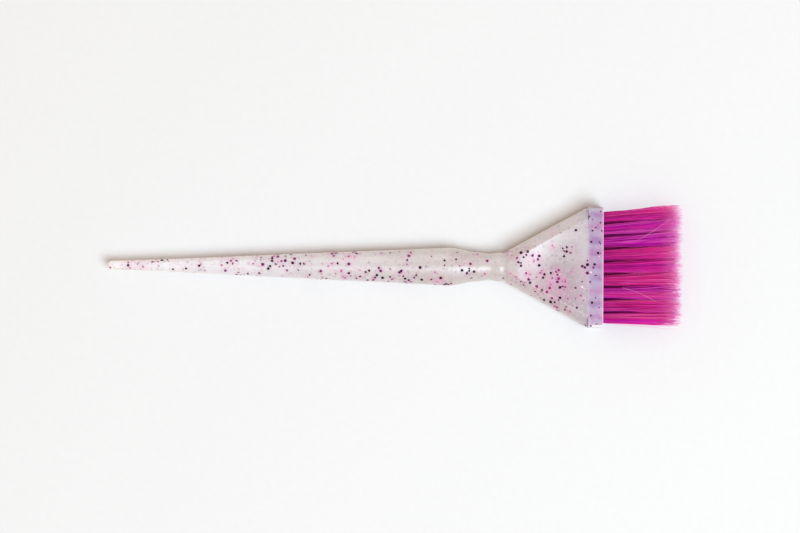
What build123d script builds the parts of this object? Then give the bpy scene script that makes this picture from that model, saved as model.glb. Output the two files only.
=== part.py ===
from build123d import *
import math
import os

os.makedirs("parts", exist_ok=True)

# Hair tint brush. +X runs along the brush from the tail tip to the bristles, +Y runs
# across the head and +Z stands on the flat face of the head. The brush lies on z = 0.

# Overall
TOTAL_LENGTH = 222.0
THICKNESS = 11.0  # of the head and of the grip at its widest
TAIL_X = -TOTAL_LENGTH / 2
BRISTLE_TIP_X = TOTAL_LENGTH / 2
MID_Z = THICKNESS / 2

# Tuft block at the front of the head
BLOCK_X0 = 74.0
BLOCK_X1 = 79.8
BLOCK_HALF_WIDTH = 23.25
BLOCK_DRAFT = 0.3
BLOCK_EDGE_R = 0.7
BLOCK_REAR_CORNER_R = 1.1
BLOCK_FRONT_R = 0.35

# Flat triangular head
HEAD_X0 = 41.6
HEAD_HALF_WIDTH_0 = 5.1
HEAD_HALF_WIDTH_1 = 23.0  # where it meets the block
WALL_DRAFT = 0.65  # how far the steep wall leans in, from the mould line to the bevel
BEVEL_WIDTH = 3.05
BEVEL_DROP = 2.1
HEAD_EDGE_R = 0.45

# Round and oval shaft: distance along X, half width in Y, half thickness in Z
TAIL_TIP_R = 1.62
TAIL_AND_GRIP = [
    (TAIL_X + TAIL_TIP_R, 1.62, 1.62),
    (-106.1, 1.71, 1.70),
    (-94.5, 2.10, 2.06),
    (-75.3, 2.89, 2.76),
    (-56.0, 3.81, 3.52),
    (-36.8, 4.70, 4.18),
    (-17.5, 5.54, 4.72),
    (1.7, 6.34, 5.16),
    (13.3, 6.92, 5.40),
    (20.6, 7.23, 5.48),
]
WAIST_AND_NECK = [
    (20.6, 7.23, 5.48),
    (21.8, 7.19, 5.46),
    (23.0, 7.03, 5.42),
    (24.4, 6.77, 5.35),
    (25.8, 6.47, 5.25),
    (27.2, 6.17, 5.14),
    (28.6, 5.88, 5.03),
    (30.2, 5.64, 4.95),
    (31.8, 5.56, 4.90),
    (33.2, 5.43, 4.84),
    (34.8, 5.16, 4.75),
    (36.4, 5.02, 4.72),
    (38.2, 5.30, 4.89),
    (40.0, 5.56, 5.06),
    (41.4, 5.36, 4.94),
    (43.0, 4.70, 4.60),
]

# Tufts, their holes and their anchors
PITCH = 4.88
ROW_OFFSET = 2.35  # of each row from the middle plane
UPPER_COUNT = 9
LOWER_COUNT = 8
HOLE_R = 1.95
HOLE_DEPTH = 6.0
TUFT_ROOT_R = 1.88
TUFT_TIP_R = 2.52
TIP_SPREAD = 1.112  # the outer tufts lean out by this factor at their tips
TIP_ROW_OFFSET = 2.78
TUFT_TIP_ROUND = 1.0
TUFT_STRAIGHT = 1.2  # free length before a tuft starts to open
ANCHOR_LENGTH = 4.3  # across the hole, biting 0.2 into each wall
ANCHOR_HEIGHT = 1.6  # along the hole
ANCHOR_THICKNESS = 0.4
ANCHOR_LIFT = 0.7  # folded filament under the anchor
SLOT_GAP = 0.1

HOLE_BOTTOM_X = BLOCK_X1 - HOLE_DEPTH
UPPER_Y = [(i - (UPPER_COUNT - 1) / 2) * PITCH for i in range(UPPER_COUNT)]
LOWER_Y = [(i - (LOWER_COUNT - 1) / 2) * PITCH for i in range(LOWER_COUNT)]
ROWS = {
    "upper": (UPPER_Y, MID_Z + ROW_OFFSET, MID_Z + TIP_ROW_OFFSET),
    "lower": (LOWER_Y, MID_Z - ROW_OFFSET, MID_Z - TIP_ROW_OFFSET),
}

# The head widens in a straight line from the neck to the block
SLOPE = (HEAD_HALF_WIDTH_1 - HEAD_HALF_WIDTH_0) / (BLOCK_X0 - HEAD_X0)
LEAN = math.atan(SLOPE)
HEAD_LAP = 0.35  # how far the head runs into the block
WALL_HEIGHT = MID_Z - BEVEL_DROP
WALL_ANGLE = math.degrees(math.atan(WALL_DRAFT / WALL_HEIGHT))
WALL_TOP_INSET = MID_Z * WALL_DRAFT / WALL_HEIGHT  # of a wall run up to the face


def head_half_width(x):
    return HEAD_HALF_WIDTH_0 + SLOPE * (x - HEAD_X0)


# ---------------------------------------------------------------- head
# The flat triangular head: a steep wall leans in from the mould line, and a wide bevel
# joins it to the face. Its plan runs past both ends and is then cut to them, and the
# half on the other side of the mould line is its mirror image.
HEAD_PLAN_X = (HEAD_X0 - 3, BLOCK_X0 + 4)
with BuildPart() as head:
    with BuildSketch(Plane.XY.offset(MID_Z)):
        with BuildLine():
            Polyline(
                *[(x, -head_half_width(x)) for x in HEAD_PLAN_X],
                *[(x, head_half_width(x)) for x in reversed(HEAD_PLAN_X)],
                close=True,
            )
        make_face()
    extrude(amount=MID_Z, taper=WALL_ANGLE)
    split(bisect_by=Plane.YZ.offset(HEAD_X0), keep=Keep.TOP)
    split(bisect_by=Plane.YZ.offset(BLOCK_X0 + HEAD_LAP), keep=Keep.BOTTOM)
    face = head.faces().sort_by(Axis.Z)[-1]
    chamfer(
        [e for e in face.edges() if abs(e.tangent_at(0.5).X) > 0.5],
        length=BEVEL_WIDTH + WALL_DRAFT - WALL_TOP_INSET,
        length2=BEVEL_DROP / math.cos(math.radians(WALL_ANGLE)),
        reference=face,
    )
    fillet(
        [
            e
            for e in head.edges()
            if abs(e.tangent_at(0.5).X) > 0.5 and abs(e.center().Z - MID_Z) > 1
        ],
        radius=HEAD_EDGE_R,
    )
    mirror(about=Plane.XY.offset(MID_Z))
print("head", len(head.part.solids()), round(head.part.volume), head.part.bounding_box())

# ---------------------------------------------------------------- handle
with BuildPart() as handle:
    # Tuft block: a bar with a slight draft to both sides of the mould line
    with BuildSketch(Plane.YZ.offset(BLOCK_X0)):
        with BuildLine():
            Polyline(
                (BLOCK_HALF_WIDTH, MID_Z),
                (BLOCK_HALF_WIDTH - BLOCK_DRAFT, THICKNESS),
                (-BLOCK_HALF_WIDTH + BLOCK_DRAFT, THICKNESS),
                (-BLOCK_HALF_WIDTH, MID_Z),
                (-BLOCK_HALF_WIDTH + BLOCK_DRAFT, 0),
                (BLOCK_HALF_WIDTH - BLOCK_DRAFT, 0),
                close=True,
            )
        bar = make_face()
        corners = [v for v in bar.vertices() if abs(v.Z - MID_Z) > 1]
        fillet(corners, radius=BLOCK_EDGE_R)
    extrude(amount=BLOCK_X1 - BLOCK_X0)
    rear_corners = [
        e
        for e in handle.edges()
        if abs(e.center().X - BLOCK_X0) < 1e-3
        and abs(abs(e.center().Y) - BLOCK_HALF_WIDTH) < BLOCK_DRAFT
        and e.length > 3
    ]
    fillet(rear_corners, radius=BLOCK_REAR_CORNER_R)
    front_rim = [e for e in handle.edges() if abs(e.center().X - BLOCK_X1) < 1e-3]
    fillet(front_rim, radius=BLOCK_FRONT_R)

    add(head.part)

    # Shaft: tail and grip, then waist and neck, in two smooth skins that meet at the
    # widest point of the grip
    for sections in (TAIL_AND_GRIP, WAIST_AND_NECK):
        for x, half_y, half_z in sections:
            centre = (x, 0, MID_Z)
            with BuildSketch(Plane(origin=centre, x_dir=(0, 1, 0), z_dir=(1, 0, 0))):
                Ellipse(half_y, half_z)
        loft()
    with Locations((TAIL_X + TAIL_TIP_R, 0, MID_Z)):
        Sphere(TAIL_TIP_R)

    # Blind holes for the tufts
    with BuildSketch(Plane.YZ.offset(HOLE_BOTTOM_X)):
        for row_y, root_z, tip_z in ROWS.values():
            with Locations([(y, root_z) for y in row_y]):
                Circle(HOLE_R)
    extrude(amount=HOLE_DEPTH + 0.5, mode=Mode.SUBTRACT)

handle.part.label = "handle"
export_step(handle.part, "parts/handle.step")
print("handle", len(handle.part.solids()), round(handle.part.volume), handle.part.bounding_box())

# ---------------------------------------------------------------- tufts
for row, (row_y, root_z, tip_z) in ROWS.items():
    for i, y in enumerate(row_y):
        start_x = HOLE_BOTTOM_X + 0.1
        open_x = BLOCK_X1 + TUFT_STRAIGHT
        with BuildPart() as tuft:
            # The root stands in its hole and the first stretch runs straight
            with BuildSketch(Plane.YZ.offset(start_x)):
                with Locations((y, root_z)):
                    Circle(TUFT_ROOT_R)
            extrude(amount=open_x - start_x)
            # Then the filaments open towards the tips
            for x, blend in ((open_x, 0.0), (open_x + 10, 0.42), (BRISTLE_TIP_X, 1.0)):
                centre_y = y * (1 + (TIP_SPREAD - 1) * blend)
                centre_z = root_z + (tip_z - root_z) * blend
                with BuildSketch(Plane.YZ.offset(x)):
                    with Locations((centre_y, centre_z)):
                        Circle(TUFT_ROOT_R + (TUFT_TIP_R - TUFT_ROOT_R) * blend)
            loft()
            tip_edge = [
                e for e in tuft.edges() if abs(e.center().X - BRISTLE_TIP_X) < 1e-3
            ]
            fillet(tip_edge, radius=TUFT_TIP_ROUND)
            # Room for the anchor that the filaments fold over
            with BuildSketch(Plane.YZ.offset(HOLE_BOTTOM_X + ANCHOR_LIFT - SLOT_GAP)):
                with Locations((y, root_z)):
                    Rectangle(ANCHOR_LENGTH + 1, ANCHOR_THICKNESS + 2 * SLOT_GAP)
            extrude(amount=ANCHOR_HEIGHT + 2 * SLOT_GAP, mode=Mode.SUBTRACT)
        name = f"{row}_tuft_{i + 1}"
        tuft.part.label = name
        export_step(tuft.part, f"parts/{name}.step")
    print(row, "tufts", len(row_y), round(tuft.part.volume, 1), tuft.part.bounding_box())

# ---------------------------------------------------------------- anchors
for row, (row_y, root_z, tip_z) in ROWS.items():
    with BuildPart() as anchors:
        with BuildSketch(Plane.YZ.offset(HOLE_BOTTOM_X + ANCHOR_LIFT)):
            with Locations([(y, root_z) for y in row_y]):
                Rectangle(ANCHOR_LENGTH, ANCHOR_THICKNESS)
        extrude(amount=ANCHOR_HEIGHT)
    name = f"{row}_row_anchors"
    anchors.part.label = name
    export_step(anchors.part, f"parts/{name}.step")
    print(name, len(anchors.part.solids()), anchors.part.bounding_box())
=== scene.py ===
import math

import bpy
import numpy as np
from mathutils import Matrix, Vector, geometry


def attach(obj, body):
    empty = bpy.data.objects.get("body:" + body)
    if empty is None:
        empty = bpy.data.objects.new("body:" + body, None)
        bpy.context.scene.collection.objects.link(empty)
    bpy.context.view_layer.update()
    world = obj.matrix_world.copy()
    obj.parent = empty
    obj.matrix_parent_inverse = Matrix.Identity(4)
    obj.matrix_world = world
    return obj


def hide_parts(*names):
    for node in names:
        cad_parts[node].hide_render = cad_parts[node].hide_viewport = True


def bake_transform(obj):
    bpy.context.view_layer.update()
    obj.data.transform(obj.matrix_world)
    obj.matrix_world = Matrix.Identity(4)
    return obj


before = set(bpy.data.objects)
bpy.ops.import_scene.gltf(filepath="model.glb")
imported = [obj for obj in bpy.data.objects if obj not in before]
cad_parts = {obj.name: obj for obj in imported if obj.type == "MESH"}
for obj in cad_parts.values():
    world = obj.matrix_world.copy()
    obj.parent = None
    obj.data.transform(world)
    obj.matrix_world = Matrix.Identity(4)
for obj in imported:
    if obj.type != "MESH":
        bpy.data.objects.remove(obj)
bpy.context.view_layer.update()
MM = 0.001
rng = np.random.default_rng(20260717)

# ------------------------------------------------------------------ shape of the handle
# The same stations as the CAD model: distance along X, half width in Y, half thickness
# in Z, all in millimetres.
MID = 5.5
TIP_R = 1.62
STATIONS = np.array([
    (-109.38, 1.62, 1.62), (-106.1, 1.71, 1.70), (-94.5, 2.10, 2.06),
    (-75.3, 2.89, 2.76), (-56.0, 3.81, 3.52), (-36.8, 4.70, 4.18),
    (-17.5, 5.54, 4.72), (1.7, 6.34, 5.16), (13.3, 6.92, 5.40),
    (20.6, 7.23, 5.48), (21.8, 7.19, 5.46), (23.0, 7.03, 5.42),
    (24.4, 6.77, 5.35), (25.8, 6.47, 5.25), (27.2, 6.17, 5.14),
    (28.6, 5.88, 5.03), (30.2, 5.64, 4.95), (31.8, 5.56, 4.90),
    (33.2, 5.43, 4.84), (34.8, 5.16, 4.75), (36.4, 5.02, 4.72),
    (38.2, 5.30, 4.89), (40.0, 5.56, 5.06), (41.4, 5.36, 4.94),
    (43.0, 4.70, 4.60), (44.0, 4.50, 4.50),
])
HEAD_X0, BLOCK_X0, BLOCK_X1 = 41.6, 74.0, 79.8
HEAD_HW0, HEAD_HW1, BLOCK_HW = 5.4, 23.15, 23.25
SLOPE = (HEAD_HW1 - HEAD_HW0) / (BLOCK_X0 - HEAD_X0)
COS_LEAN = math.cos(math.atan(SLOPE))
WALL, BEVEL, DROP, EDGE_R = 0.65, 3.05, 2.1, 0.45
FRONT_R = 0.35
NECK_0, NECK_1 = 40.6, 43.4
PITCH, ROW_OFF, HOLE_R, HOLE_DEPTH = 4.88, 2.35, 1.95, 6.0
UPPER_Y = [(i - 4) * PITCH for i in range(9)]
LOWER_Y = [(i - 3.5) * PITCH for i in range(8)]


def smooth_curve(xs, ys):
    """A monotone cubic through the stations, softened so that its curvature has no steps."""
    h = np.diff(xs)
    d = np.diff(ys) / h
    m = np.zeros(len(xs))
    for i in range(1, len(xs) - 1):
        if d[i - 1] * d[i] > 0:
            w1, w2 = 2 * h[i] + h[i - 1], h[i] + 2 * h[i - 1]
            m[i] = (w1 + w2) / (w1 / d[i - 1] + w2 / d[i])
    m[0], m[-1] = d[0], d[-1]
    fine = np.arange(xs[0], xs[-1], 0.1)
    k = np.clip(np.searchsorted(xs, fine, side="right") - 1, 0, len(h) - 1)
    t = (fine - xs[k]) / h[k]
    v = (
        (2 * t**3 - 3 * t**2 + 1) * ys[k] + (t**3 - 2 * t**2 + t) * h[k] * m[k]
        + (-2 * t**3 + 3 * t**2) * ys[k + 1] + (t**3 - t**2) * h[k] * m[k + 1]
    )
    g = np.exp(-0.5 * (np.arange(-15, 16) * 0.1 / 0.26) ** 2)
    padded = np.concatenate([
        v[0] - (v[15:0:-1] - v[0]), v, v[-1] - (v[-2:-17:-1] - v[-1])
    ])
    v = np.convolve(padded, g / g.sum(), mode="valid")
    return lambda x: np.interp(x, fine, v)


half_y = smooth_curve(STATIONS[:, 0], STATIONS[:, 1])
half_z = smooth_curve(STATIONS[:, 0], STATIONS[:, 2])


def head_hw(x):
    return HEAD_HW0 + SLOPE * (x - HEAD_X0)


def smoothstep(a, b, x):
    t = np.clip((np.asarray(x, float) - a) / (b - a), 0, 1)
    return t * t * (3 - 2 * t)


# A section is four mirrored quadrants of M steps, from the mould line at (half, 0) up to
# the middle of the face. Each stretch of the quadrant keeps its own steps, so the edges
# of the bevel run along one line of the mesh.
PART = (8, 4, 9, 4, 35)
M = sum(PART)
RING = 4 * M


def rounded_quadrant(points, radius):
    """Wall, bevel and face with an arc at the two corners between them."""
    p = np.array(points, float)
    out, start = [], p[0]
    for c in (1, 2):
        a, b = p[c] - p[c - 1], p[c + 1] - p[c]
        a, b = a / np.linalg.norm(a), b / np.linalg.norm(b)
        turn = math.acos(float(np.clip(a @ b, -1, 1)))
        reach = radius * math.tan(turn / 2)
        t0, t1 = p[c] - a * reach, p[c] + b * reach
        steps = PART[2 * (c - 1)]
        out += [start + (t0 - start) * k / steps for k in range(steps)]
        n = np.array([-a[1], a[0]])
        centre = t0 + n * radius
        r0 = t0 - centre
        steps = PART[2 * (c - 1) + 1]
        for k in range(steps):
            s = turn * k / steps
            out.append(centre + np.array([
                r0[0] * math.cos(s) - r0[1] * math.sin(s),
                r0[0] * math.sin(s) + r0[1] * math.cos(s),
            ]))
        start = t1
    steps = PART[4]
    out += [start + (p[3] - start) * k / steps for k in range(steps)]
    out.append(p[3])
    return np.array(out)


def head_quadrant(x):
    """Drafted wall, bevel and face; the face starts as a point where the neck runs out."""
    h = head_hw(x)
    start = 1 - float(smoothstep(41.5, 47.5, x))
    top = MID - 0.30 * start
    w = h - WALL / COS_LEAN
    f = max(0.25, h - (WALL + BEVEL) / COS_LEAN - 0.55 * start)
    radius = min(EDGE_R * (1 + 1.6 * start), 0.9 * f + 0.2)
    return rounded_quadrant([(h, 0), (w, MID - DROP), (f, top), (0, top)], radius)


def block_quadrant(x):
    """The bar that holds the tufts: a slight draft, a rounded edge and a soft rear corner."""
    u = x - BLOCK_X0
    hw = BLOCK_HW - 0.25 * (1 - min(1, max(0, u) / 0.7)) ** 2
    inset = 0.0
    v = x - (BLOCK_X1 - FRONT_R)
    if v > 0:
        inset = FRONT_R - math.sqrt(max(0.0, FRONT_R**2 - v**2))
    hw, top = hw - inset, MID - inset
    r = 0.7
    # straight wall, then the rounded edge carries what the bevel's steps are on the head
    wall_top = top - r
    pts = []
    n1, n2, n3, n4, n5 = PART
    x_at = lambda z: hw - 0.3 * z / MID
    for k in range(n1):
        z = (wall_top * 0.86) * k / n1
        pts.append((x_at(z), z))
    for k in range(n2):
        z = wall_top * (0.86 + 0.14 * k / n2)
        pts.append((x_at(z), z))
    cx, cz = x_at(wall_top) - r, wall_top
    for k in range(n3):
        s = math.pi / 2 * k / n3
        pts.append((cx + r * math.cos(s), cz + r * math.sin(s)))
    for k in range(n4):
        pts.append((cx - 0.8 * k / n4, top))
    for k in range(n5 + 1):
        pts.append(((cx - 0.8) * (1 - k / n5), top))
    return np.array(pts)


head_start = head_quadrant(HEAD_X0 + 0.3)
phi_head = np.arctan2(head_start[:, 1] / MID, head_start[:, 0] / head_hw(HEAD_X0 + 0.3))
phi_even = np.linspace(0, math.pi / 2, M + 1)


def shaft_quadrant(x):
    if x < STATIONS[0, 0]:
        s = max(0.0, 1 - ((x - STATIONS[0, 0]) / TIP_R) ** 2)
        a = b = TIP_R * math.sqrt(s)
    else:
        a, b = float(half_y(x)), float(half_z(x))
    t = float(smoothstep(24, 41, x))
    phi = phi_even * (1 - t) + phi_head * t
    return np.stack([a * np.cos(phi), b * np.sin(phi)], 1)


def quadrant(x):
    if x <= NECK_0:
        return shaft_quadrant(x)
    if x < NECK_1:
        t = float(smoothstep(NECK_0, NECK_1, x))
        return shaft_quadrant(x) * (1 - t) + head_quadrant(x) * t
    if x < BLOCK_X0 - 0.02:
        return head_quadrant(x)
    if x < BLOCK_X0 + 0.12:
        t = (x - (BLOCK_X0 - 0.02)) / 0.14
        t = t ** 0.55
        return head_quadrant(x) * (1 - t) + block_quadrant(x) * t
    return block_quadrant(x)


def section(x):
    """The closed ring at x, as rows of (y, z) round the mould line's height."""
    q = quadrant(x)
    a = q[:-1]
    b = (q * [-1, 1])[::-1][:-1]
    c = (q * [-1, -1])[:-1]
    d = (q * [1, -1])[::-1][:-1]
    return np.concatenate([a, b, c, d])


tip = [STATIONS[0, 0] - TIP_R * math.cos(s) for s in np.radians([8, 17, 27, 38, 50, 63, 76])]
xs = np.concatenate([
    tip,
    np.arange(-109.38, 19.9, 0.72),
    np.arange(20.0, 40.9, 0.46),
    np.arange(41.0, 43.9, 0.18),
    np.arange(44.1, 73.8, 0.5),
    [73.9, 73.97, 73.99, 74.02, 74.05, 74.09, 74.13, 74.25, 74.45, 74.7],
    np.arange(75.0, 79.0, 0.44),
    [79.08, 79.16, 79.25, 79.34, 79.45, 79.52, 79.6, 79.68, 79.74, 79.78, 79.8],
])
rings = np.array([section(x) for x in xs])
grid = np.empty((len(xs), RING, 3))
grid[:, :, 0] = xs[:, None]
grid[:, :, 1:] = rings
grid[:, :, 2] += MID
# A thick moulding sinks a little as it cools, so the two flat faces of the head are
# shallow dishes, deepest along the middle and shallow again at the bar
gx, gy, gz = grid[:, :, 0], grid[:, :, 1], grid[:, :, 2]
face_start = 1 - smoothstep(41.5, 47.5, gx)
face_half = np.maximum(0.3, head_hw(gx) - (WALL + BEVEL) / COS_LEAN - 0.55 * face_start)
t = np.clip(np.abs(gy) / face_half, 0, 1)
dish = 0.46 * smoothstep(45.5, 57.0, gx) * (1 - smoothstep(56.0, 74.2, gx)) * (1 - t**2)
dish += 0.012 * (1 - t**2) * (1 + np.sin(gx * 0.45 + 1.1) * np.sin(gy * 0.33 + 0.4)) * smoothstep(46, 50, gx)
dish *= smoothstep(-0.06, -0.01, np.abs(gz - MID) - (MID - 0.30 * face_start)) * (gx > 45.4) * (gx < 74.2)
grid[:, :, 2] -= np.sign(gz - MID) * dish


# the two halves of the mould leave a fine ridge along the sides
for k, side in ((0, 1), (2 * M, -1)):
    grid[:, k, 1] += side * 0.05 * smoothstep(-110.8, -108, gx[:, k]) * (1 - smoothstep(79.2, 79.5, gx[:, k]))


def tidy(me, angle=38):
    me.validate()
    me.update()
    me.shade_smooth()
    me.set_sharp_from_angle(angle=math.radians(angle))


def link(name, verts, faces):
    me = bpy.data.meshes.new(name)
    me.from_pydata([tuple(v) for v in np.asarray(verts) * MM], [], [tuple(f) for f in faces])
    ob = bpy.data.objects.new(name, me)
    bpy.context.scene.collection.objects.link(ob)
    return ob


verts = list(grid.reshape(-1, 3))
faces = []
for i in range(len(xs) - 1):
    for j in range(RING):
        k = (j + 1) % RING
        faces.append((i * RING + j, i * RING + k, (i + 1) * RING + k, (i + 1) * RING + j))
pole = len(verts)
verts.append(np.array([STATIONS[0, 0] - TIP_R, 0, MID]))
for j in range(RING):
    faces.append((pole, (j + 1) % RING, j))

# Front of the block: a flat face with seventeen blind holes
last = (len(xs) - 1) * RING
outline = [Vector((verts[last + j][1], verts[last + j][2])) for j in range(RING)]
HOLE_N = 36
RIM = 0.12
circles = []
for ys, z in ((UPPER_Y, MID + ROW_OFF), (LOWER_Y, MID - ROW_OFF)):
    for y in ys:
        circles.append((y, z))
coords, edges = list(outline), [(j, (j + 1) % RING) for j in range(RING)]
for y, z in circles:
    base = len(coords)
    for k in range(HOLE_N):
        s = 2 * math.pi * k / HOLE_N
        coords.append(Vector((y + (HOLE_R + RIM) * math.cos(s), z + (HOLE_R + RIM) * math.sin(s))))
    edges += [(base + k, base + (k + 1) % HOLE_N) for k in range(HOLE_N)]
flat = geometry.delaunay_2d_cdt(coords, edges, [], 0, 1e-9)
front = {}
for k, c in enumerate(flat[0]):
    source = flat[3][k]
    if source and source[0] < RING:
        front[k] = last + source[0]
    else:
        front[k] = len(verts)
        verts.append(np.array([BLOCK_X1, c[0], c[1]]))
for f in flat[2]:
    c = sum((flat[0][k] for k in f), Vector((0, 0))) / len(f)
    if any((c[0] - y) ** 2 + (c[1] - z) ** 2 < (HOLE_R + RIM * 0.9) ** 2 for y, z in circles):
        continue
    pts = [flat[0][k] for k in f]
    area = sum(pts[a][0] * pts[(a + 1) % 3][1] - pts[(a + 1) % 3][0] * pts[a][1] for a in range(3))
    if abs(area) < 1e-9:
        continue
    f = list(f) if area > 0 else list(f)[::-1]
    faces.append(tuple(front[k] for k in f))
rim_of = {}
for k in range(len(flat[0])):
    if flat[3][k] and flat[3][k][0] >= RING:
        rim_of[flat[3][k][0] - RING] = front[k]
for h, (y, z) in enumerate(circles):
    ring = [rim_of[h * HOLE_N + k] for k in range(HOLE_N)]
    for x, r in ((BLOCK_X1 - 0.05, HOLE_R + 0.03), (BLOCK_X1 - 0.14, HOLE_R), (BLOCK_X1 - 1.2, HOLE_R),
                 (BLOCK_X1 - 3.4, HOLE_R), (BLOCK_X1 - HOLE_DEPTH, HOLE_R)):
        nxt = []
        for k in range(HOLE_N):
            s = 2 * math.pi * k / HOLE_N
            nxt.append(len(verts))
            verts.append(np.array([x, y + r * math.cos(s), z + r * math.sin(s)]))
        for k in range(HOLE_N):
            n = (k + 1) % HOLE_N
            faces.append((ring[k], ring[n], nxt[n], nxt[k]))
        ring = nxt
    centre = len(verts)
    verts.append(np.array([BLOCK_X1 - HOLE_DEPTH - 0.2, y, z]))
    for k in range(HOLE_N):
        faces.append((ring[k], ring[(k + 1) % HOLE_N], centre))

handle = link("handle_moulding", verts, faces)
tidy(handle.data, 34)
V = np.array(verts)

# ------------------------------------------------------------------ glitter
# Flakes lie in random clumps. A clump is a point on the surface with a spread, and more
# flakes are scattered between the clumps.
dx_ = np.gradient(grid, axis=0)
dr_ = (np.roll(grid, -1, axis=1) - np.roll(grid, 1, axis=1)) / 2
normals = np.cross(dr_, dx_)
cell = np.linalg.norm(normals, axis=2)
normals = normals / np.maximum(cell, 1e-12)[:, :, None]
sign = np.sign((normals[:, :, 1] * gy + normals[:, :, 2] * (grid[:, :, 2] - MID)).sum(1))
normals = normals * np.where(sign == 0, 1, sign)[:, None, None]
to_next = np.linalg.norm(np.roll(grid, -1, axis=1) - grid, axis=2)
arc = np.concatenate([np.zeros((len(xs), 1)), np.cumsum(to_next, axis=1)], axis=1)


def surface_at(i, j, along, round_):
    """Point and normal a little way along the brush and round it from a mesh point."""
    x = xs[i] + along
    fi = float(np.interp(x, xs, np.arange(len(xs))))
    i0 = min(int(fi), len(xs) - 2)
    u = fi - i0
    p, n = np.zeros(3), np.zeros(3)
    for ii, w in ((i0, 1 - u), (i0 + 1, u)):
        total = arc[ii, -1]
        fj = float(np.interp((arc[ii, j] + round_) % total, arc[ii], np.arange(RING + 1)))
        j0 = int(fj)
        v = fj - j0
        for jj, wj in ((j0 % RING, 1 - v), ((j0 + 1) % RING, v)):
            p += w * wj * grid[ii, jj]
            n += w * wj * normals[ii, jj]
    return p, n / np.linalg.norm(n)


usable = (gx > -110.3) & (gx < 79.1)
crowding = np.interp(gx, [-106, -95, -66, -27, 0, 11, 25, 38, 46, 52, 66, 72, 76],
                     [0.13, 0.06, 0.075, 0.085, 0.08, 0.05, 0.03, 0.04, 0.075, 0.075, 0.06, 0.055, 0.06])
crowding = crowding * np.where((gx > 48) & (gx < 73), 1.30 - 0.95 * smoothstep(-4.0, 6.0, gy), 1.0)
weight = (cell * usable * crowding).ravel()
wanted = weight.sum()
weight /= weight.sum()
print("flakes wanted by density", round(wanted))


def random_places(n):
    pick = rng.choice(len(weight), n, p=weight)
    return pick // RING, pick % RING


flat_grid = grid.reshape(-1, 3)
ok = usable.ravel()
flake_centres, flake_tone, flake_size, flake_place = [], [], [], []


def add_flake(i, j, tone, size):
    p = grid[i, j]
    for q, s in zip(flake_centres, flake_size):
        if abs(p[0] - q[0]) < 1.5 and np.linalg.norm(p - q) < (size + s) * 0.9:
            return
    flake_centres.append(p)
    flake_tone.append(tone)
    flake_size.append(size)
    flake_place.append((int(i), int(j)))


def dark_tone():
    return rng.uniform(0.0, 0.22) if rng.random() < 0.55 else rng.uniform(0.22, 0.56)


def pink_or_glint_tone():
    r = rng.random()
    if r < 0.35:
        return rng.uniform(0.22, 0.5)
    # tones above 0.84 are near-white: painted glints, for flakes that catch the light
    return rng.uniform(0.5, 0.8) if r < 0.93 else rng.uniform(0.84, 1.0)


clumps = []
in_head = weight * ((gx > 53) & (gx < 70) & (np.abs(gy) < 10) & (np.abs(gz - MID) > 4.9)).ravel()
in_head = rng.choice(len(weight), 12, p=in_head / in_head.sum())
for kind, places in (("dark", random_places(44)), ("pink", random_places(24)), ("pink", (in_head // RING, in_head % RING))):
    for i, j in zip(*places):
        c = grid[i, j]
        spread = rng.uniform(0.9, 2.5)
        clumps.append((c, spread, kind))
        near = np.flatnonzero(ok & (np.abs(flat_grid[:, 0] - c[0]) < spread * 2.2))
        d = np.linalg.norm(flat_grid[near] - c, axis=1)
        w = np.exp(-0.5 * (d / spread) ** 2) * cell.ravel()[near]
        for pick in rng.choice(near, int(rng.integers(3, 9)), p=w / w.sum()):
            tone = dark_tone() if kind == "dark" or rng.random() < 0.3 else pink_or_glint_tone()
            add_flake(pick // RING, pick % RING, tone, rng.choice([0.36, 0.44, 0.52, 0.56, 0.60, 0.64]) * rng.uniform(0.95, 1.05))
for i, j in zip(*random_places(80)):
    add_flake(i, j, dark_tone(), rng.uniform(0.34, 0.60))
for i, j in zip(*random_places(150)):
    add_flake(i, j, pink_or_glint_tone(), rng.uniform(0.24, 0.44))
on_bar = weight * ((gx > 73.6) & (gx < 78.9) & (np.abs(gz - MID) > 5.3)).ravel()
for pick in rng.choice(len(weight), 46, p=on_bar / on_bar.sum()):
    add_flake(pick // RING, pick % RING, dark_tone() if rng.random() < 0.62 else pink_or_glint_tone(), rng.uniform(0.30, 0.52))

fv, ff, ft = [], [], []


def flake_faces(base):
    for k in range(6):
        k2 = (k + 1) % 6
        ff.append((base, base + 1 + k, base + 1 + k2))
        ff.append((base + 7, base + 8 + k2, base + 8 + k))
        ff.append((base + 1 + k2, base + 1 + k, base + 8 + k, base + 8 + k2))


broken = np.random.default_rng(57)
for (i, j), tone, size in zip(flake_place, flake_tone, flake_size):
    p, n = grid[i, j], normals[i, j]
    # the painted glints (near-white flakes) are made smaller
    size *= 0.66 if tone > 0.82 else 1.0
    a = dx_[i, j] / np.linalg.norm(dx_[i, j])
    r = dr_[i, j] / np.linalg.norm(dr_[i, j])
    cos_t = float(a @ r)
    sin_t = math.sqrt(max(0.05, 1 - cos_t**2))
    spin = rng.uniform(0, math.pi / 3)
    thin = 1.0 if rng.random() < 0.7 else rng.uniform(0.35, 0.9)
    turn = rng.uniform(0, math.pi)
    if broken.random() < 0.10:
        thin = broken.uniform(0.3, 0.6)
    chip = 1.04 - 0.4 * (broken.random(6) < 0.2) * (broken.random() < 0.35)
    tops, bottoms = [], []
    for k in range(6):
        s = spin + math.pi / 3 * k
        u0, v0 = size * chip[k] * math.cos(s), size * chip[k] * thin * math.sin(s)
        u, v = u0 * math.cos(turn) - v0 * math.sin(turn), u0 * math.sin(turn) + v0 * math.cos(turn)
        q, m = surface_at(i, j, (u - v * cos_t / sin_t) * a[0], v / sin_t)
        tops.append(q + m * 0.024)
        bottoms.append(q - m * 0.05)
    base = len(fv)
    fv += [p + n * 0.026] + tops + [p - n * 0.05] + bottoms
    flake_faces(base)
    ft += [tone] * 14
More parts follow.
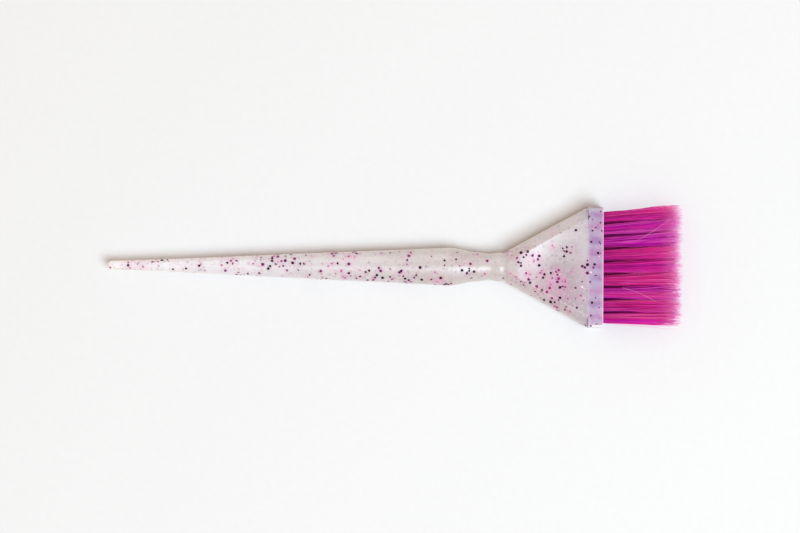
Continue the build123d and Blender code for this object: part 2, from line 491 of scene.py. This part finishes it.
# a few on the front of the bar, between the tufts
count = 0
while count < 16:
    y, z = rng.uniform(-22.4, 22.4), MID + rng.uniform(-4.6, 4.6)
    if min(math.hypot(y - c[0], z - c[1]) for c in circles) < HOLE_R + 0.62:
        continue
    size, spin, tone = rng.uniform(0.3, 0.42), rng.uniform(0, 1), dark_tone() if count % 3 else pink_or_glint_tone()
    ring6 = [np.array([0, y + size * math.cos(spin + math.pi / 3 * k), z + size * math.sin(spin + math.pi / 3 * k)])
             for k in range(6)]
    base = len(fv)
    fv += [np.array([BLOCK_X1 + 0.022, y, z])] + [q + [BLOCK_X1 + 0.02, 0, 0] for q in ring6]
    fv += [np.array([BLOCK_X1 - 0.05, y, z])] + [q + [BLOCK_X1 - 0.05, 0, 0] for q in ring6]
    flake_faces(base)
    ft += [tone] * 14
    count += 1
glitter = link("glitter_flakes", fv, ff)
glitter.data.validate()
a = glitter.data.attributes.new("tone", "FLOAT", "POINT")
a.data.foreach_set("value", np.array(ft, np.float32))
print("flakes", len(flake_place), "surface mm2", round((cell * usable).sum()))

# Soft pink around the flakes, and how crowded the glitter is, kept on the mesh. The pink is partly painted light, the
# glow that light scattered off the flakes gives the milky plastic, and partly fine pink glitter round the pink clumps
halo = np.zeros(len(V))
crowd = np.zeros(len(V))
for c, t, s in zip(flake_centres, flake_tone, flake_size):
    near = np.flatnonzero(np.abs(V[:, 0] - c[0]) < 5.0)
    d2 = ((V[near] - c) ** 2).sum(1)
    halo[near] += np.exp(-0.5 * d2 / 0.85**2) * (0.10 + 0.75 * min(1, t * 1.4))
    crowd[near] += np.exp(-0.5 * d2 / 2.2**2)
for c, spread, kind in clumps:
    near = np.flatnonzero(np.abs(V[:, 0] - c[0]) < 4 * spread)
    d2 = ((V[near] - c) ** 2).sum(1)
    halo[near] += (0.50 if kind == "pink" else 0.04) * np.exp(-0.5 * d2 / (spread * 1.1) ** 2)
halo = np.clip(halo, 0, 1.5) * np.interp(V[:, 0], [-110, -20, 20], [0.5, 0.8, 1.0])
crowd = np.clip(crowd / 3, 0, 1)

# The dyed tufts show through the bar: a band for each one, on the row's own side. Each band sits 0.14 of a pitch
# towards +Y: painted shade on the side of each tuft away from the light
x, y, z = V[:, 0], V[:, 1], V[:, 2]
upper = z > MID
place = np.where(upper, y, y + PITCH / 2) / PITCH
order = np.round(place - 0.14)
band = 0.5 + 0.5 * np.cos((place - 0.14) * 2 * math.pi)
order_tone = 0.5 + 0.5 * np.sin(order * 2.4 + np.where(upper, 0.3, 1.7))
end = np.where(upper, 4 * PITCH, 3.5 * PITCH) + 1.9
inside = 1 - smoothstep(end - 0.2, end + 0.9, np.abs(y))
glow = smoothstep(72.9, 75.2, x) * (1 - 0.25 * smoothstep(78.4, 79.4, x)) * inside
cool = smoothstep(66.0, 76.0, x) * (0.35 + 0.65 * smoothstep(9.0, 22.0, np.abs(y)))
# darker and purpler towards the -Y side of the face near the bar: partly the crowded glitter, partly painted shade
# where the face catches no light
murk_and_shade = smoothstep(47.0, 68.0, x) * (1 - 0.72 * smoothstep(-8.0, 7.0, y)) * (1 - smoothstep(73.2, 74.4, x))
murk_and_shade *= 1 - smoothstep(-0.8, 0.4, np.abs(y) - (head_hw(x) - (WALL + BEVEL) / COS_LEAN))
# painted highlight: the -Y end of the bar made lighter, as the light falls on it from that side
painted_highlight_end = smoothstep(73.9, 74.6, x) * smoothstep(end + 0.5, end + 1.4, np.abs(y)) * np.where(y < 0, 1.0, 0.1) * smoothstep(3.4, 4.5, np.abs(z - MID))
cool = np.maximum(cool, smoothstep(72.6, 74.6, x))
# painted shade: the +Y end of the bar made darker, on the side away from the light
painted_shade_far_end = smoothstep(73.5, 74.6, x) * smoothstep(21.2, 22.6, y)
# painted highlight: a cream line along the mould line, for the light that comes out through the translucent edge
edge = (1 - smoothstep(0.2, 1.7, np.abs(z - MID))) * (1 - smoothstep(73.0, 74.0, x))
# painted highlight: a bright pink-white line along the rounded front edge of the bar
painted_lip_highlight = smoothstep(79.36, 79.62, x) * (np.abs(y) < 22.9)
# a darker, pitted band just behind the front edge, over the tufts
dark_front_band = smoothstep(79.0, 79.14, x) * (1 - smoothstep(79.25, 79.36, x)) * inside
# painted light: the plastic is lighter where it is thin, for the light that shines through the tail
thick = np.interp(x, [-111, -95, -60, -20, 10, 22, 30, 40, 44, 60, 80],
                  [0.0, 0.06, 0.30, 0.62, 0.88, 0.92, 0.88, 0.88, 0.92, 1.0, 1.0])
for name, value in (("halo", halo), ("crowd", crowd), ("band", band), ("band_tone", order_tone), ("glow", glow),
                    ("cool", cool), ("murk_and_shade", murk_and_shade), ("painted_highlight_end", painted_highlight_end), ("painted_shade_far_end", painted_shade_far_end), ("edge", edge), ("painted_lip_highlight", painted_lip_highlight), ("dark_front_band", dark_front_band), ("thick", thick)):
    a = handle.data.attributes.new(name, "FLOAT", "POINT")
    a.data.foreach_set("value", np.asarray(value, np.float32))

# ------------------------------------------------------------------ bristles
TIP_X = 111.0
ROOT_X = BLOCK_X1 - 1.7
SIDES = 4


def filament(path, radii, verts, faces):
    """A thin tapering tube along path, closed at both ends."""
    n = len(path)
    t = np.gradient(path, axis=0)
    t /= np.linalg.norm(t, axis=1, keepdims=True)
    side = np.cross(t, np.array([0.0, 0.0, 1.0]))
    side /= np.linalg.norm(side, axis=1, keepdims=True)
    up = np.cross(side, t)
    base = len(verts)
    for i in range(n):
        for k in range(SIDES):
            s = 2 * math.pi * (k + 0.5) / SIDES
            verts.append(path[i] + radii[i] * (math.cos(s) * side[i] + math.sin(s) * up[i]))
    for i in range(n - 1):
        for k in range(SIDES):
            k2 = (k + 1) % SIDES
            a = base + i * SIDES
            faces.append((a + k, a + k2, a + SIDES + k2, a + SIDES + k))
    faces.append(tuple(base + k for k in range(SIDES))[::-1])
    faces.append(tuple(base + (n - 1) * SIDES + k for k in range(SIDES)))


def tuft(name, y0, z0, tip_y, tip_z, hue, count, strays=()):
    """One tuft: filaments that gather into strands, and strands that gather into wisps."""
    verts, faces, tone, along, hues = [], [], [], [], []
    golden = math.pi * (3 - math.sqrt(5))
    u = np.array([0, 0.045, 0.09, 0.14, 0.2, 0.265, 0.335, 0.41, 0.49, 0.64, 0.80, 0.91, 1.0])
    lean_y, lean_z = rng.normal(0, 0.10), rng.normal(0, 0.1)

    def spots(n, radius):
        s = np.arange(n) * golden + rng.uniform(0, 6.28)
        r = radius * np.sqrt((np.arange(n) + 0.5) / n)
        return np.stack([r * np.cos(s), r * np.sin(s)], 1) + rng.normal(0, radius * 0.09, (n, 2))

    roots = spots(count, 1.80)
    size = np.linalg.norm(roots, axis=1, keepdims=True)
    roots *= np.minimum(1, 1.82 / np.maximum(size, 1e-6))
    strands, wisps = spots(52, 1.75), spots(15, 1.7)
    strand_tone, strand_hue = rng.random(len(strands)), rng.normal(0, 0.22, len(strands))
    wisp_long, wisp_hue = rng.normal(0, 0.7, len(wisps)), rng.normal(0, 0.2, len(wisps))
    wisp_turn = rng.normal(0, (0.24, 0.16), (len(wisps), 2))
    for root in roots:
        si = int(np.argmin(((strands - root) ** 2).sum(1)))
        wi = int(np.argmin(((wisps - strands[si]) ** 2).sum(1)))
        dy, dz = root
        gather = rng.uniform(0.5, 0.86)
        target = root + (strands[si] - root) * gather * 0.7
        target = target + (wisps[wi] - target) * 0.16
        reach = (TIP_X - 1.9 + wisp_long[wi] * 0.8 - abs(rng.normal(0, 3.3)) + rng.uniform(0, 1.8)) - ROOT_X
        reach -= 0.5 * (np.linalg.norm(root) / 1.8) ** 2 + (rng.random() < 0.05) * rng.uniform(0.5, 4.0)
        reach = min(reach, TIP_X - 0.05 - rng.uniform(0, 0.6) - ROOT_X)
        loose = rng.random() < (0.26 if y0 > 16 and target[0] > 0 else 0.07)
        grow = rng.uniform(1.9, 2.5 if y0 > 0 else 2.1) if loose else 1.66
        grow *= 0.74 if abs(y0) > 18 and target[0] * y0 > 0 and not loose else 1.0
        ey = tip_y + lean_y + target[0] * grow + wisp_turn[wi, 0] + rng.normal(0, 0.36)
        ez = tip_z + lean_z + target[1] * 1.52 + wisp_turn[wi, 1] + rng.normal(0, 0.24)
        ez = min(10.9, max(0.22, ez))
        ey = max(-23.9, min(24.1, ey))
        hold = smoothstep(0.03, 0.17, u)
        pull = smoothstep(0.08, 0.55, u) * (1 - 0.6 * smoothstep(0.6, 1.0, u))
        ease = (0.62 * u + 0.38 * u**1.6) * hold
        path = np.empty((len(u), 3))
        path[:, 0] = ROOT_X + reach * u
        path[:, 1] = y0 + dy + (ey - y0 - dy) * ease
        path[:, 2] = z0 + dz + (ez - z0 - dz) * (0.95 * u + 0.05 * u**2) ** 0.8 * hold
        mid_pull = (strands[si] - root) * gather * 0.8
        path[:, 1] += mid_pull[0] * pull * (1 - ease)
        path[:, 2] += mid_pull[1] * pull * (1 - ease)
        wob, ph, fr = rng.normal(0, 0.07, 2), rng.uniform(0, 2 * math.pi, 2), rng.uniform(2.5, 6.5, 2)
        path[:, 1] += hold * wob[0] * np.sin(fr[0] * u * math.pi + ph[0]) * u
        path[:, 2] += hold * wob[1] * np.sin(fr[1] * u * math.pi + ph[1]) * u
        rad = rng.uniform(0.078, 0.102) * (1 - 0.62 * smoothstep(0.58, 1.0, u)) * (0.72 if loose else 1.0)
        filament(path, rad, verts, faces)
        n = len(u) * SIDES
        tone += [min(1, max(0, strand_tone[si] * 0.86 + rng.random() * 0.16 + 0.25 * loose))] * n
        hues += [min(1, max(0, hue + strand_hue[si] + wisp_hue[wi]))] * n
        along += list(np.repeat((ROOT_X + reach * u - BLOCK_X1) / (TIP_X - BLOCK_X1), SIDES))
    for sy, sz, ty, tz, sx, tx in strays:
        path = np.empty((len(u), 3))
        path[:, 0] = sx + (tx - sx) * u
        path[:, 1] = sy + (ty - sy) * (0.7 * u + 0.3 * u**2)
        path[:, 2] = sz + (tz - sz) * (0.8 * u + 0.2 * u**2) + 0.25 * np.sin(math.pi * u)
        path[:, 1] += 0.10 * np.sin(5.1 * u + sy)
        filament(path, np.full(len(u), 0.052), verts, faces)
        tone += [1.25] * (len(u) * SIDES)
        hues += [0.3] * (len(u) * SIDES)
        along += [0.8] * (len(u) * SIDES)
    ob = link(name, verts, faces)
    ob.data.validate()
    ob.data.shade_smooth()
    for n, v in (("tone", tone), ("along", along), ("hue", hues)):
        a = ob.data.attributes.new(n, "FLOAT", "POINT")
        a.data.foreach_set("value", np.array(v, np.float32))
    return ob


SPREAD, SHIFT = 1.07, 1.05
tufts = []
upper_hue = [0.25, 0.8, 0.75, 0.1, 0.35, 0.2, 0.75, 0.3, 0.3][::-1]
for i, y0 in enumerate(UPPER_Y):
    strays = []
    if i == 6:
        strays = [(10.9, 9.9, 18.6, 10.7, 93.0, 105.0)]
    if i == 2:
        strays = [(-7.6, 9.9, -12.9, 10.6, 87.2, 100.0)]
    tufts.append((tuft(f"bristles_upper_{i + 1}", y0, MID + ROW_OFF, y0 * SPREAD + SHIFT, 7.7,
                       upper_hue[i], 300, strays), f"upper_tuft_{i + 1}"))
for i, y0 in enumerate(LOWER_Y):
    tufts.append((tuft(f"bristles_lower_{i + 1}", y0, MID - ROW_OFF, y0 * SPREAD + SHIFT, 3.05,
                       float(rng.random()), 270), f"lower_tuft_{i + 1}"))


# ------------------------------------------------------------------ materials
class Nodes:
    """Short names for building a node tree."""

    def __init__(self, name):
        self.mat = bpy.data.materials.new(name)
        self.mat.use_nodes = True
        self.tree = self.mat.node_tree
        self.tree.nodes.clear()
        self.out = self.tree.nodes.new("ShaderNodeOutputMaterial")

    def new(self, kind, **settings):
        n = self.tree.nodes.new("ShaderNode" + kind)
        for k, v in settings.items():
            setattr(n, k, v)
        return n

    def put(self, value, socket):
        if isinstance(value, bpy.types.NodeSocket):
            self.tree.links.new(value, socket)
        elif value is not None:
            socket.default_value = value

    def math(self, op, a, b=None, c=None, clamp=False):
        n = self.new("Math", operation=op, use_clamp=clamp)
        for k, v in enumerate((a, b, c)):
            if v is not None:
                self.put(v, n.inputs[k])
        return n.outputs[0]

    def mix(self, factor, a, b, kind="MIX"):
        n = self.new("Mix", data_type="RGBA", blend_type=kind)
        n.clamp_factor = True
        self.put(factor, n.inputs[0])
        self.put(a, n.inputs[6])
        self.put(b, n.inputs[7])
        return n.outputs[2]

    def ramp(self, factor, stops, mode="LINEAR"):
        n = self.new("ValToRGB")
        n.color_ramp.interpolation = mode
        while len(n.color_ramp.elements) > 1:
            n.color_ramp.elements.remove(n.color_ramp.elements[-1])
        n.color_ramp.elements[0].position = stops[0][0]
        n.color_ramp.elements[0].color = (*stops[0][1], 1)
        for p, c in stops[1:]:
            e = n.color_ramp.elements.new(p)
            e.color = (*c, 1)
        self.put(factor, n.inputs[0])
        return n.outputs[0]

    def span(self, value, lo, hi, to_lo=0.0, to_hi=1.0, kind="LINEAR"):
        n = self.new("MapRange", interpolation_type=kind)
        self.put(value, n.inputs[0])
        for k, v in enumerate((lo, hi, to_lo, to_hi)):
            self.put(v, n.inputs[k + 1])
        return n.outputs[0]

    def attribute(self, name):
        n = self.new("Attribute", attribute_type="GEOMETRY", attribute_name=name)
        return n.outputs["Fac"]

    def place(self, scale=(1, 1, 1)):
        n = self.new("Mapping")
        n.inputs["Scale"].default_value = scale
        self.put(self.new("TexCoord").outputs["Object"], n.inputs["Vector"])
        return n.outputs[0]

    def noise(self, vector, scale, detail=3.0, rough=0.5):
        n = self.new("TexNoise")
        self.put(vector, n.inputs["Vector"])
        n.inputs["Scale"].default_value = scale
        n.inputs["Detail"].default_value = detail
        n.inputs["Roughness"].default_value = rough
        return n.outputs["Fac"]

    def bump(self, height, strength, distance):
        n = self.new("Bump")
        n.inputs["Strength"].default_value = strength
        n.inputs["Distance"].default_value = distance
        self.put(height, n.inputs["Height"])
        return n.outputs["Normal"]

    def principled(self, **sockets):
        n = self.new("BsdfPrincipled")
        for k, v in sockets.items():
            self.put(v, n.inputs[k.replace("_", " ")])
        return n


def srgb(r, g, b):
    f = lambda c: (c / 255 / 12.92) if c <= 10.31 else (((c / 255) + 0.055) / 1.055) ** 2.4
    return (f(r), f(g), f(b))


def rgba(c):
    return (*c, 1.0)


def handle_material():
    m = Nodes("glitter_plastic")
    at = m.place((1, 1, 1))
    thick = m.attribute("thick")
    cloud = m.noise(at, 75.0, 3.0, 0.5)
    flow = m.noise(m.place((0.15, 1, 1)), 380.0, 3.0, 0.6)
    # the thickness ramp is painted light: paler where thin, for light shining through the plastic
    base = m.ramp(thick, [(0.0, srgb(236, 235, 239)), (0.35, srgb(229, 228, 232)), (0.92, srgb(207, 201, 199)), (1.0, srgb(202, 194, 195))])
    base = m.mix(m.span(cloud, 0.38, 0.68, 0.0, 0.30), base, rgba(srgb(224, 206, 208)), "MULTIPLY")
    base = m.mix(m.span(flow, 0.4, 0.65, 0.0, 0.12), base, rgba(srgb(236, 230, 226)))
    # the cream line along the mould line is a painted highlight
    edge = m.attribute("edge")
    base = m.mix(m.math("MULTIPLY", edge, 0.8), base, rgba(srgb(255, 242, 226)))
    base = m.mix(m.math("MULTIPLY", m.attribute("cool"), 0.62), base, rgba(srgb(180, 178, 194)))
    # partly glitter colour, partly painted shade on the -Y side of the face
    base = m.mix(m.math("MULTIPLY", m.attribute("murk_and_shade"), m.span(cloud, 0.3, 0.7, 0.45, 0.85)), base, rgba(srgb(140, 104, 122)))
    # flakes deep in the plastic: soft, pale spots, crowded where the crisp ones are
    crowd = m.attribute("crowd")
    for scale, radius, soft, colour, strength in (
        (600.0, 0.24, 0.20, srgb(150, 112, 146), 0.44),
        (780.0, 0.26, 0.22, srgb(206, 116, 168), 0.40),
        (430.0, 0.17, 0.12, srgb(140, 118, 150), 0.40),
    ):
        v = m.new("TexVoronoi", feature="F1", voronoi_dimensions="3D")
        m.put(at, v.inputs["Vector"])
        v.inputs["Scale"].default_value = scale
        pick = m.new("SeparateColor")
        m.put(v.outputs["Color"], pick.inputs[0])
        spot = m.span(v.outputs["Distance"], radius, radius + soft, 1.0, 0.0, "SMOOTHSTEP")
        chosen = m.span(m.math("ADD", pick.outputs[0], m.math("MULTIPLY", crowd, 0.26)), 0.90, 0.93, 0.0, 1.0)
        amount = m.math("MULTIPLY", m.math("MULTIPLY", spot, chosen), m.span(pick.outputs[1], 0, 1, strength * 0.4, strength))
        base = m.mix(amount, base, rgba(colour))
    # fine specks: the grey ones are micro glitter, the pale ones are painted sparkle glints
    for scale, shift, colour, strength in ((1700.0, 0.80, srgb(240, 226, 238), 0.55), (1450.0, 0.85, srgb(168, 138, 166), 0.42)):
        v = m.new("TexVoronoi", feature="F1", voronoi_dimensions="3D")
        m.put(at, v.inputs["Vector"])
        v.inputs["Scale"].default_value = scale
        pick = m.new("SeparateColor")
        m.put(v.outputs["Color"], pick.inputs[0])
        spot = m.span(v.outputs["Distance"], 0.22, 0.42, 1.0, 0.0, "SMOOTHSTEP")
        chosen = m.span(m.math("ADD", pick.outputs[0], m.math("MULTIPLY", crowd, 0.12)), shift, shift + 0.04, 0.0, strength)
        base = m.mix(m.math("MULTIPLY", spot, chosen), base, rgba(colour))
    # halo: pink that is partly painted glow round the flakes and partly fine pink glitter
    base = m.mix(m.math("MULTIPLY", m.attribute("halo"), 0.32, clamp=True), base, rgba(srgb(232, 146, 196)))
    # the dyed tufts show through the bar
    deep = m.mix(m.attribute("band_tone"), rgba(srgb(136, 60, 152)), rgba(srgb(168, 62, 152)))
    haze = m.span(m.noise(at, 260.0, 4.0, 0.6), 0.28, 0.72, -0.75, 0.75)
    amount = m.span(m.math("ADD", m.math("MULTIPLY", m.attribute("band"), 0.9), haze), -0.15, 1.25, 0.06, 0.84, "SMOOTHSTEP")
    milk = m.mix(m.span(m.noise(at, 150.0, 3.0), 0.35, 0.65), rgba(srgb(160, 142, 178)), rgba(srgb(180, 138, 180)))
    bands = m.mix(amount, milk, deep)
    base = m.mix(m.math("MULTIPLY", m.attribute("glow"), 0.92), base, bands)
    # painted highlight on the -Y end of the bar
    base = m.mix(m.math("MULTIPLY", m.attribute("painted_highlight_end"), 0.95), base, rgba(srgb(244, 241, 250)))
    # painted shade on the +Y end of the bar
    base = m.mix(m.math("MULTIPLY", m.attribute("painted_shade_far_end"), 0.7), base, rgba(srgb(160, 148, 170)))
    # darker band behind the front edge, broken up by noise
    band_noise = m.span(m.noise(m.place((1, 2.2, 1)), 900.0, 2.0), 0.42, 0.60, 0.10, 0.42)
    base = m.mix(m.math("MULTIPLY", m.attribute("dark_front_band"), band_noise), base, rgba(srgb(128, 92, 150)))
    # painted highlight along the rounded front edge
    base = m.mix(m.math("MULTIPLY", m.attribute("painted_lip_highlight"), 0.75), base, rgba(srgb(250, 190, 232)))
    rough = m.span(m.noise(at, 260.0, 4.0, 0.6), 0.3, 0.7, 0.27, 0.35)
    height = m.math("ADD", m.math("MULTIPLY", m.noise(at, 1100.0, 3.0), 0.8), m.noise(at, 300.0, 2.0))
    n = m.principled(Base_Color=base, Roughness=rough, Normal=m.bump(height, 0.34, 0.0001))
    n.subsurface_method = "RANDOM_WALK"
    n.inputs["IOR"].default_value = 1.66
    n.inputs["Specular IOR Level"].default_value = 0.68
    m.put(m.span(edge, 0.0, 1.0, 1.0, 0.25), n.inputs["Subsurface Weight"])
    n.inputs["Subsurface Radius"].default_value = (1.0, 0.86, 0.82)
    n.inputs["Subsurface Scale"].default_value = 0.0028
    m.put(n.outputs[0], m.out.inputs[0])
    return m.mat


def flake_material():
    m = Nodes("glitter_foil")
    tone = m.attribute("tone")
    # tones above 0.84 run to near-white: painted glints for flakes that catch the light
    colour = m.ramp(tone, [
        (0.0, srgb(24, 0, 20)), (0.22, srgb(60, 2, 50)), (0.42, srgb(120, 22, 104)),
        (0.6, srgb(168, 46, 124)), (0.78, srgb(196, 116, 170)), (0.84, srgb(236, 200, 224)),
        (1.0, srgb(255, 240, 250)),
    ])
    grain = m.noise(m.place(), 5200.0, 2.0)
    colour = m.mix(m.span(grain, 0.5, 0.75, 0.0, 0.16), colour, rgba(srgb(150, 60, 130)))
    rough = m.span(m.noise(m.place(), 2400.0, 2.0), 0.3, 0.7, 0.38, 0.55)
    n = m.principled(Base_Color=colour, Roughness=rough)
    n.inputs["Specular IOR Level"].default_value = 0.12
    m.put(n.outputs[0], m.out.inputs[0])
    return m.mat


def bristle_material():
    m = Nodes("dyed_nylon_filament")
    along, tone, hue = m.attribute("along"), m.attribute("tone"), m.attribute("hue")
    dye = m.ramp(hue, [(0.0, srgb(255, 40, 172)), (0.35, srgb(255, 28, 192)), (0.7, srgb(248, 12, 208)), (1.0, srgb(236, 8, 220))])
    pale = m.ramp(hue, [(0.0, srgb(255, 104, 212)), (0.5, srgb(255, 88, 226)), (1.0, srgb(253, 82, 238))])
    # towards the tips the colour is painted paler, for the light that shines through the sparse tips
    colour = m.mix(m.span(along, 0.45, 1.0, 0.0, 0.6, "SMOOTHSTEP"), dye, pale)
    # painted shade: darker towards the roots, where the filaments crowd
    colour = m.mix(m.span(along, -0.05, 0.78, 0.50, 0.0), colour, rgba(srgb(176, 4, 108)))
    light = m.math("MULTIPLY", m.span(tone, 0.5, 0.98, 0.0, 0.78), m.span(along, 0.0, 0.7, 0.45, 1.0))
    colour = m.mix(light, colour, rgba(srgb(255, 132, 206)))
    shade = m.math("MULTIPLY", m.span(tone, 0.02, 0.42, 0.62, 0.0), m.span(along, 0.3, 1.0, 1.0, 0.5))
    colour = m.mix(shade, colour, rgba(srgb(150, 0, 108)))
    streak = m.noise(m.place((0.05, 1, 1)), 2200.0, 2.0)
    colour = m.mix(m.span(streak, 0.45, 0.68, 0.0, 0.28), colour, rgba(srgb(255, 96, 210)))
    # the last millimetres are painted paler, for the light that shines through the thin tips, some strands sooner
    # than others
    pale_tip_light = m.math("MULTIPLY", m.span(along, 0.68, 1.0, 0.0, 0.85, "SMOOTHSTEP"), m.span(tone, 0.0, 0.8, 0.55, 1.1))
    colour = m.mix(pale_tip_light, colour, rgba(srgb(255, 180, 230)))
    colour = m.mix(m.span(tone, 1.1, 1.2, 0.0, 0.9), colour, rgba(srgb(255, 190, 232)))
    rough = m.span(m.noise(m.place(), 1800.0, 2.0), 0.3, 0.7, 0.42, 0.56)
    n = m.principled(Base_Color=colour, Roughness=rough)
    n.inputs["Specular IOR Level"].default_value = 0.12
    through = m.new("BsdfTranslucent")
    m.put(colour, through.inputs["Color"])
    both = m.new("MixShader")
    both.inputs[0].default_value = 0.42
    m.put(n.outputs[0], both.inputs[1])
    m.put(through.outputs[0], both.inputs[2])
    m.put(both.outputs[0], m.out.inputs[0])
    return m.mat


def anchor_material():
    m = Nodes("anchor_wire_brass")
    drawn = m.noise(m.place((1, 0.05, 1)), 3000.0, 3.0)
    colour = m.mix(m.span(drawn, 0.35, 0.7), rgba(srgb(206, 168, 92)), rgba(srgb(170, 132, 66)))
    n = m.principled(Base_Color=colour, Roughness=m.span(drawn, 0.3, 0.7, 0.25, 0.42), Metallic=1.0)
    m.put(n.outputs[0], m.out.inputs[0])
    return m.mat


def floor_material():
    m = Nodes("pale_paper_floor")
    fine = m.noise(m.place(), 400.0, 4.0)
    colour = m.mix(m.span(fine, 0.3, 0.7), rgba((0.822, 0.792, 0.762)), rgba((0.836, 0.806, 0.776)))
    n = m.principled(Base_Color=colour, Roughness=0.9)
    n.inputs["Specular IOR Level"].default_value = 0.1
    m.put(n.outputs[0], m.out.inputs[0])
    return m.mat


plastic, foil, nylon, brass = handle_material(), flake_material(), bristle_material(), anchor_material()
handle.data.materials.append(plastic)
glitter.data.materials.append(foil)
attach(handle, "handle")
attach(glitter, "handle")
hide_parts("handle")
for piece, node in tufts:
    piece.data.materials.append(nylon)
    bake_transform(piece)
    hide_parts(node)
for n in ("upper_row_anchors", "lower_row_anchors"):
    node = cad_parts[n]
    node.data.materials.clear()
    node.data.materials.append(brass)

# ------------------------------------------------------------------ floor, light, camera
me = bpy.data.meshes.new("floor")
steps = 8
fl = [(-2.5 + 5 * i / steps, -2.5 + 5 * j / steps, -0.00004) for i in range(steps + 1) for j in range(steps + 1)]
fq = [(i * (steps + 1) + j, (i + 1) * (steps + 1) + j, (i + 1) * (steps + 1) + j + 1, i * (steps + 1) + j + 1)
      for i in range(steps) for j in range(steps)]
me.from_pydata(fl, [], fq)
floor = bpy.data.objects.new("floor", me)
bpy.context.scene.collection.objects.link(floor)
me.materials.append(floor_material())


def softbox(name, power):
    """One softbox, up to the lower right of the brush as the camera sees it."""
    data = bpy.data.lights.new(name, "AREA")
    data.shape = "RECTANGLE"
    data.size, data.size_y = 1.12, 1.60
    data.energy = power
    data.color = (0.781, 0.912, 1.0)
    ob = bpy.data.objects.new(name, data)
    bpy.context.scene.collection.objects.link(ob)
    ob.location = (0.764, -0.662, 2.1)
    ob.rotation_euler = (Vector((0, 0, 0)) - ob.location).to_track_quat("-Z", "Y").to_euler()
    return ob


def group(name, objects, state):
    c = bpy.data.collections.new(name)
    for o in objects:
        c.objects.link(o)
    for link_ in c.collection_objects:
        link_.light_linking.link_state = state
    return c


# Fine dyed nylon lets most of the light through to the floor. The same softbox is therefore
# several lights in one place: for the handle, for the bristles, for the floor that the
# bristles don't block, and a weaker one for the floor that they do.
POWER, THROUGH = 49.6, 0.90
bristles = [piece for piece, node in tufts]
on_brush = softbox("softbox_on_brush", POWER * 0.82)
on_brush.light_linking.receiver_collection = group("not_floor_or_bristles", [floor] + bristles, "EXCLUDE")
# the many bounces between fine filaments are cut short, so they get a stronger light
on_bristles = softbox("softbox_on_bristles", POWER * 1.32)
on_bristles.light_linking.receiver_collection = group("the_bristles", bristles, "INCLUDE")
past = softbox("softbox_past_bristles", POWER * 1.105 * THROUGH)
past.data.color = (0.692, 0.8645, 1.0)
past.light_linking.receiver_collection = group("the_floor", [floor], "INCLUDE")
past.light_linking.blocker_collection = group("not_the_bristles", bristles, "EXCLUDE")
# a wide, weak light from the other side keeps the far bevels as light as the near ones
back = softbox("softbox_fill", POWER * 0.19)
back.data.size, back.data.size_y = 1.8, 1.6
back.data.color = (0.93, 0.98, 1.0)
back.location = (-0.35, 1.55, 1.5)
back.rotation_euler = (Vector((0, 0, 0)) - back.location).to_track_quat("-Z", "Y").to_euler()
back.light_linking.receiver_collection = group("not_the_floor_either", [floor], "EXCLUDE")
rest = softbox("softbox_on_floor", POWER * 1.105 * (1 - THROUGH))
rest.data.color = (0.692, 0.8645, 1.0)
rest.light_linking.receiver_collection = group("the_floor_too", [floor], "INCLUDE")

world = bpy.data.worlds.new("studio")
bpy.context.scene.world = world
world.use_nodes = True
wt = world.node_tree
fill = wt.nodes["Background"]
fill.inputs["Color"].default_value = (1.0, 0.82, 0.70, 1)
fill.inputs["Strength"].default_value = 0.56
pale = wt.nodes.new("ShaderNodeBackground")
pale.inputs["Color"].default_value = (0.90, 0.90, 0.90, 1)
rays = wt.nodes.new("ShaderNodeLightPath")
pick = wt.nodes.new("ShaderNodeMixShader")
wt.links.new(rays.outputs["Is Camera Ray"], pick.inputs[0])
wt.links.new(fill.outputs[0], pick.inputs[1])
wt.links.new(pale.outputs[0], pick.inputs[2])
wt.links.new(pick.outputs[0], wt.nodes["World Output"].inputs["Surface"])

cam_data = bpy.data.cameras.new("camera")
cam = bpy.data.objects.new("camera", cam_data)
bpy.context.scene.collection.objects.link(cam)
cam.location = (0.0017, 0.0, 1.2)
cam.rotation_euler = (0, 0, math.radians(0.3))
cam_data.sensor_width = 36
cam_data.lens = 36 * (1.2 - 0.0065) / 0.308
cam_data.clip_start, cam_data.clip_end = 0.01, 20
bpy.context.scene.camera = cam
bpy.context.scene.view_settings.view_transform = "Standard"
